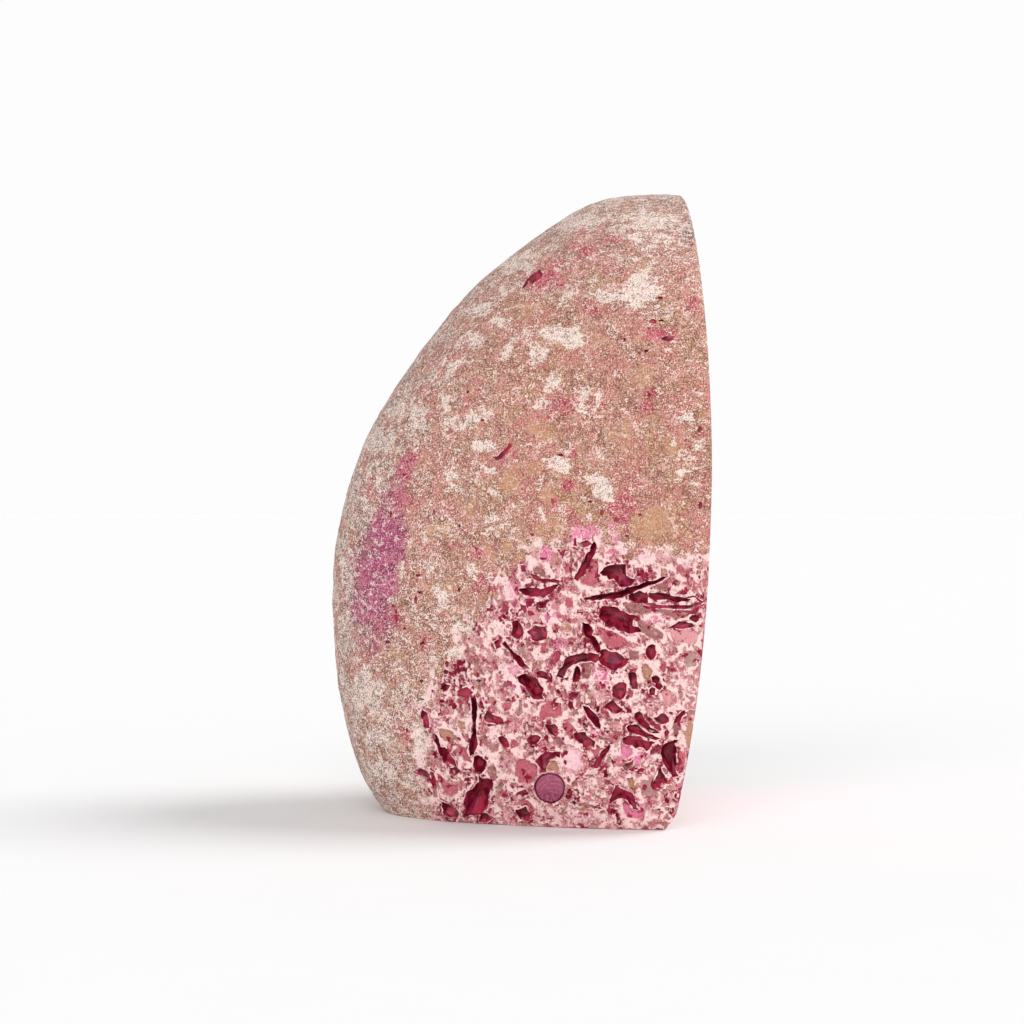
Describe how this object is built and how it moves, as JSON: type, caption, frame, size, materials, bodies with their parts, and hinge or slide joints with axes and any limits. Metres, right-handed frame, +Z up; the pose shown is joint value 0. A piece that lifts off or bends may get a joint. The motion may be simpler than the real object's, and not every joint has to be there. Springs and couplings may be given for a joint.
{
  "type": "polished agate freeform",
  "caption": "Standing half nodule of pink-dyed agate: rough domed rind with open pits, a polished flat-cut front and a sawn foot that it stands on.",
  "frame": {"origin": "middle of the stone's outline on the plane that its sawn foot stands on", "axes": "+Z up along the stone's height; the polished face looks towards -Y and the domed rind bulges towards +Y; the pitted side looks towards -X"},
  "size_m": [0.0883, 0.071, 0.12],
  "materials": {
    "agate_stone": "matte"
  },
  "bodies": {
    "root": {"agate_stone": "agate_stone"}
  },
  "joints": []
}
